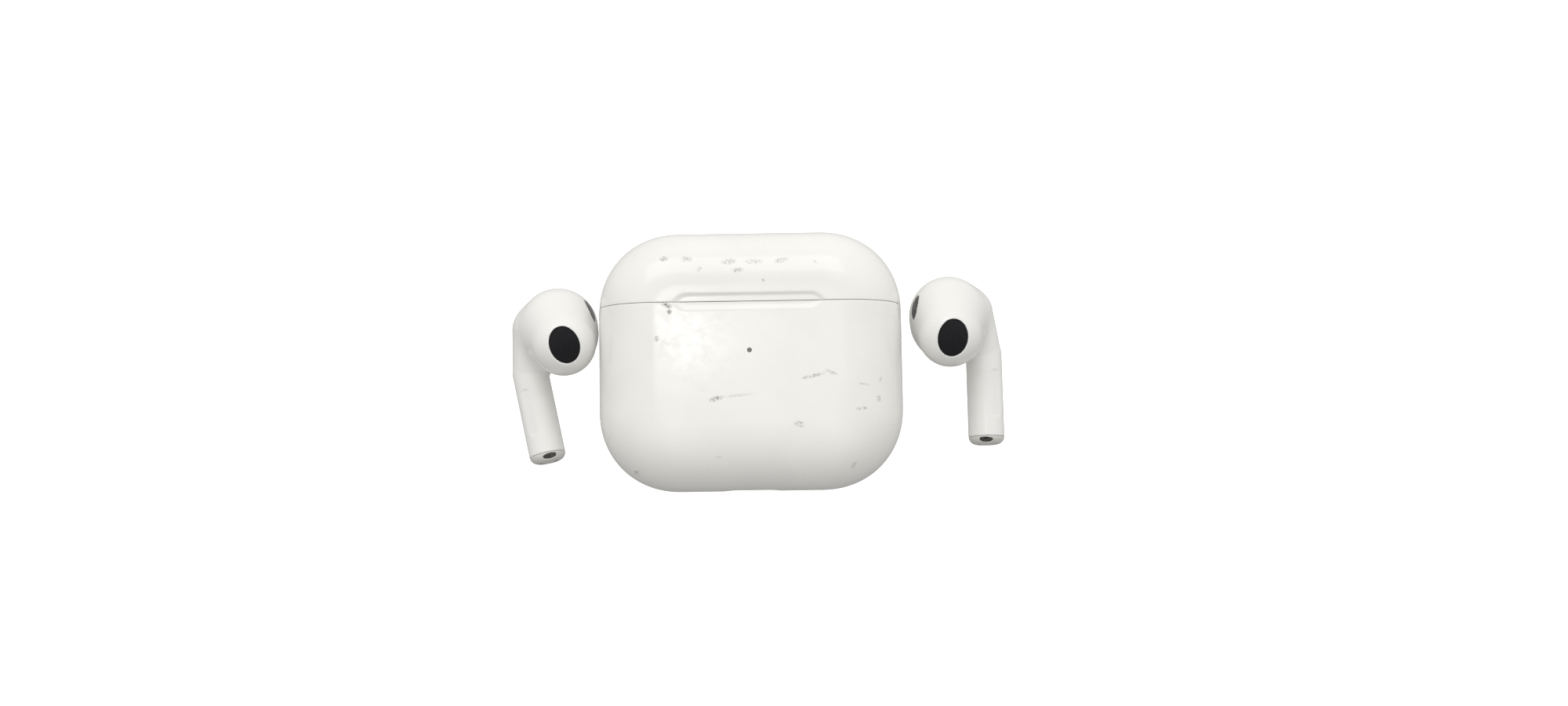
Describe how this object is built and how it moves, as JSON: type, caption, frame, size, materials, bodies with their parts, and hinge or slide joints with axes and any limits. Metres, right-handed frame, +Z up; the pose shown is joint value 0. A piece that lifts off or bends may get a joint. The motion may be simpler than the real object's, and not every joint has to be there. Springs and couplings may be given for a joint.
{
  "type": "wireless earbuds case",
  "caption": "White wireless charging case for stemmed earbuds, with a hinged lid, a setup button on its back and sprung contacts in its wells, lying on its back with its earbuds beside it.",
  "frame": {"origin": "middle of the flat back of the case, which lies on the surface", "axes": "+X across the case, +Y up the case's height towards its lid, +Z up from the surface, out of the case's front"},
  "size_m": [0.09, 0.0464, 0.0214],
  "materials": {
    "shell_plastic": "gloss",
    "inner_plastic": "gloss",
    "bud_plastic": "gloss",
    "hinge_steel": "satin",
    "screw_steel": "satin",
    "cell_foil": "satin",
    "cell_steel": "satin",
    "flex_circuit": "satin",
    "circuit_board": "satin",
    "chip_black": "matte",
    "copper_wire": "gloss",
    "ferrite": "matte",
    "magnet": "polished",
    "port_metal": "satin",
    "dark_plastic": "matte",
    "gold_contact": "polished",
    "light_window": "gloss",
    "black_mesh": "matte",
    "sensor_window": "gloss",
    "tip_metal": "polished"
  },
  "bodies": {
    "case": {"base_shell": "shell_plastic", "cradle": "inner_plastic", "hinge_bracket": "hinge_steel", "hinge_pin": "hinge_steel", "bracket_screws": "screw_steel", "battery_cell": "cell_foil", "battery_flex": "flex_circuit", "main_board": "circuit_board", "board_chips": "chip_black", "charging_coil": "copper_wire", "ferrite_sheet": "ferrite", "align_magnets": "magnet", "port_ring": "port_metal", "port_socket": "dark_plastic", "port_contacts": "gold_contact", "light_flex": "flex_circuit", "light_pipe": "light_window", "lid_sensor": "chip_black", "base_magnet": "magnet", "well_magnets": "magnet", "left_contact_block": "dark_plastic", "right_contact_block": "dark_plastic", "button_switch": "dark_plastic", "left_pin_springs": "hinge_steel", "right_pin_springs": "hinge_steel"},
    "lid": {"lid_shell": "shell_plastic", "lid_liner": "inner_plastic", "lid_magnet": "magnet", "hinge_leaf": "hinge_steel", "leaf_screws": "screw_steel"},
    "setup_button": {"setup_button": "shell_plastic"},
    "left_contact_pins": {"left_contact_pins": "gold_contact"},
    "right_contact_pins": {"right_contact_pins": "gold_contact"},
    "left_earbud": {"left_bud_rear_shell": "bud_plastic", "left_bud_front_shell": "bud_plastic", "left_bud_outlet_mesh": "black_mesh", "left_bud_vent_mesh": "black_mesh", "left_bud_skin_sensor": "sensor_window", "left_bud_driver": "dark_plastic", "left_bud_battery": "cell_steel", "left_bud_board": "circuit_board", "left_bud_stem_flex": "flex_circuit", "left_bud_tip_cap": "bud_plastic", "left_bud_tip_contacts": "tip_metal", "left_bud_mic_mesh": "black_mesh"},
    "right_earbud": {"right_bud_rear_shell": "bud_plastic", "right_bud_front_shell": "bud_plastic", "right_bud_outlet_mesh": "black_mesh", "right_bud_vent_mesh": "black_mesh", "right_bud_skin_sensor": "sensor_window", "right_bud_driver": "dark_plastic", "right_bud_battery": "cell_steel", "right_bud_board": "circuit_board", "right_bud_stem_flex": "flex_circuit", "right_bud_tip_cap": "bud_plastic", "right_bud_tip_contacts": "tip_metal", "right_bud_mic_mesh": "black_mesh"}
  },
  "joints": [
    {"name": "lid_hinge", "type": "hinge", "parent": "case", "child": "lid", "pos_m": [0, 0.0097, 0.001], "axis": [-1, 0, 0], "range_deg": [0, 100]},
    {"name": "setup_press", "type": "slide", "parent": "case", "child": "setup_button", "axis": [0, 0, 1], "range_m": [0, 0.0004], "stiffness_N_per_m": 800, "springref_m": -0.0004},
    {"name": "left_pins_press", "type": "slide", "parent": "case", "child": "left_contact_pins", "axis": [0, -1, 0], "range_m": [0, 0.0004], "stiffness_N_per_m": 400, "springref_m": -0.0002, "deforming": ["left_pin_springs"]},
    {"name": "right_pins_press", "type": "slide", "parent": "case", "child": "right_contact_pins", "axis": [0, -1, 0], "range_m": [0, 0.0004], "stiffness_N_per_m": 400, "springref_m": -0.0002, "deforming": ["right_pin_springs"]},
    {"name": "left_earbud_lift", "type": "slide", "parent": "case", "child": "left_earbud", "axis": [0, 0, 1], "range_m": [0, 0.06]},
    {"name": "right_earbud_lift", "type": "slide", "parent": "case", "child": "right_earbud", "axis": [0, 0, 1], "range_m": [0, 0.06]}
  ]
}
